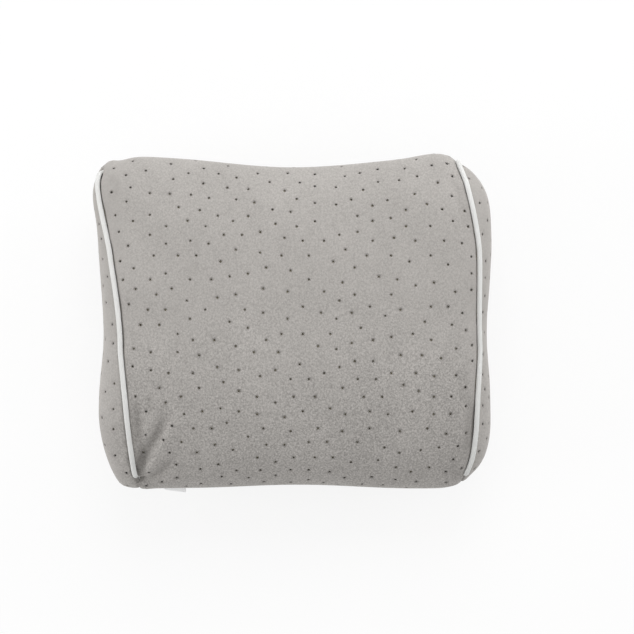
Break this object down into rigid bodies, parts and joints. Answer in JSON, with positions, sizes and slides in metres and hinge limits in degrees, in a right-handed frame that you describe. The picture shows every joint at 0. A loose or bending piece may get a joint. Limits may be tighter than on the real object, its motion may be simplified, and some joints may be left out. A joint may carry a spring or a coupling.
{
  "type": "memory foam headrest cushion",
  "caption": "Lens-shaped foam headrest cushion in a zipped, perforated microsuede cover with piped side panels, back strap and blank label.",
  "frame": {"origin": "under the middle of the cushion, on the surface that its back lies on", "axes": "+X across the cushion, +Y towards its top edge, +Z out of its front face"},
  "size_m": [0.2774, 0.2404, 0.086],
  "materials": {
    "foam": "open-cell viscoelastic foam with a matt moulded skin",
    "microsuede": "short-pile greige microsuede, matt with a soft sheen, perforated all over",
    "piping": "off-white bias cloth over a cord, satin",
    "elastic": "ribbed woven elastic, matt",
    "zip_tape": "woven polyester tape, matt",
    "zip_chain": "nylon coil, satin",
    "zip_metal": "die-cast zinc with a dull nickel plate",
    "label": "white woven satin ribbon, blank"
  },
  "bodies": {
    "cushion": {"foam_core": "foam", "cover_main_panel": "microsuede", "cover_side_panel_left": "microsuede", "cover_side_panel_right": "microsuede", "piping_left": "piping", "piping_right": "piping", "elastic_strap": "elastic", "zip_tape_upper": "zip_tape", "zip_tape_lower": "zip_tape", "zip_chain_upper": "zip_chain", "zip_chain_lower": "zip_chain", "zip_stop_left": "zip_metal", "zip_stop_right": "zip_metal", "care_label": "label"},
    "slider": {"zip_slider": "zip_metal"},
    "pull": {"zip_pull": "zip_metal"}
  },
  "joints": [
    {"name": "zip_slide", "type": "slide", "parent": "cushion", "child": "slider", "axis": [-1, 0, 0], "range_m": [0, 0.1786]},
    {"name": "pull_swing", "type": "hinge", "parent": "slider", "child": "pull", "pos_m": [0.08947, -0.09678, 0.01634], "axis": [0, -0.8765, 0.4813], "range_deg": [-80, 80]}
  ]
}
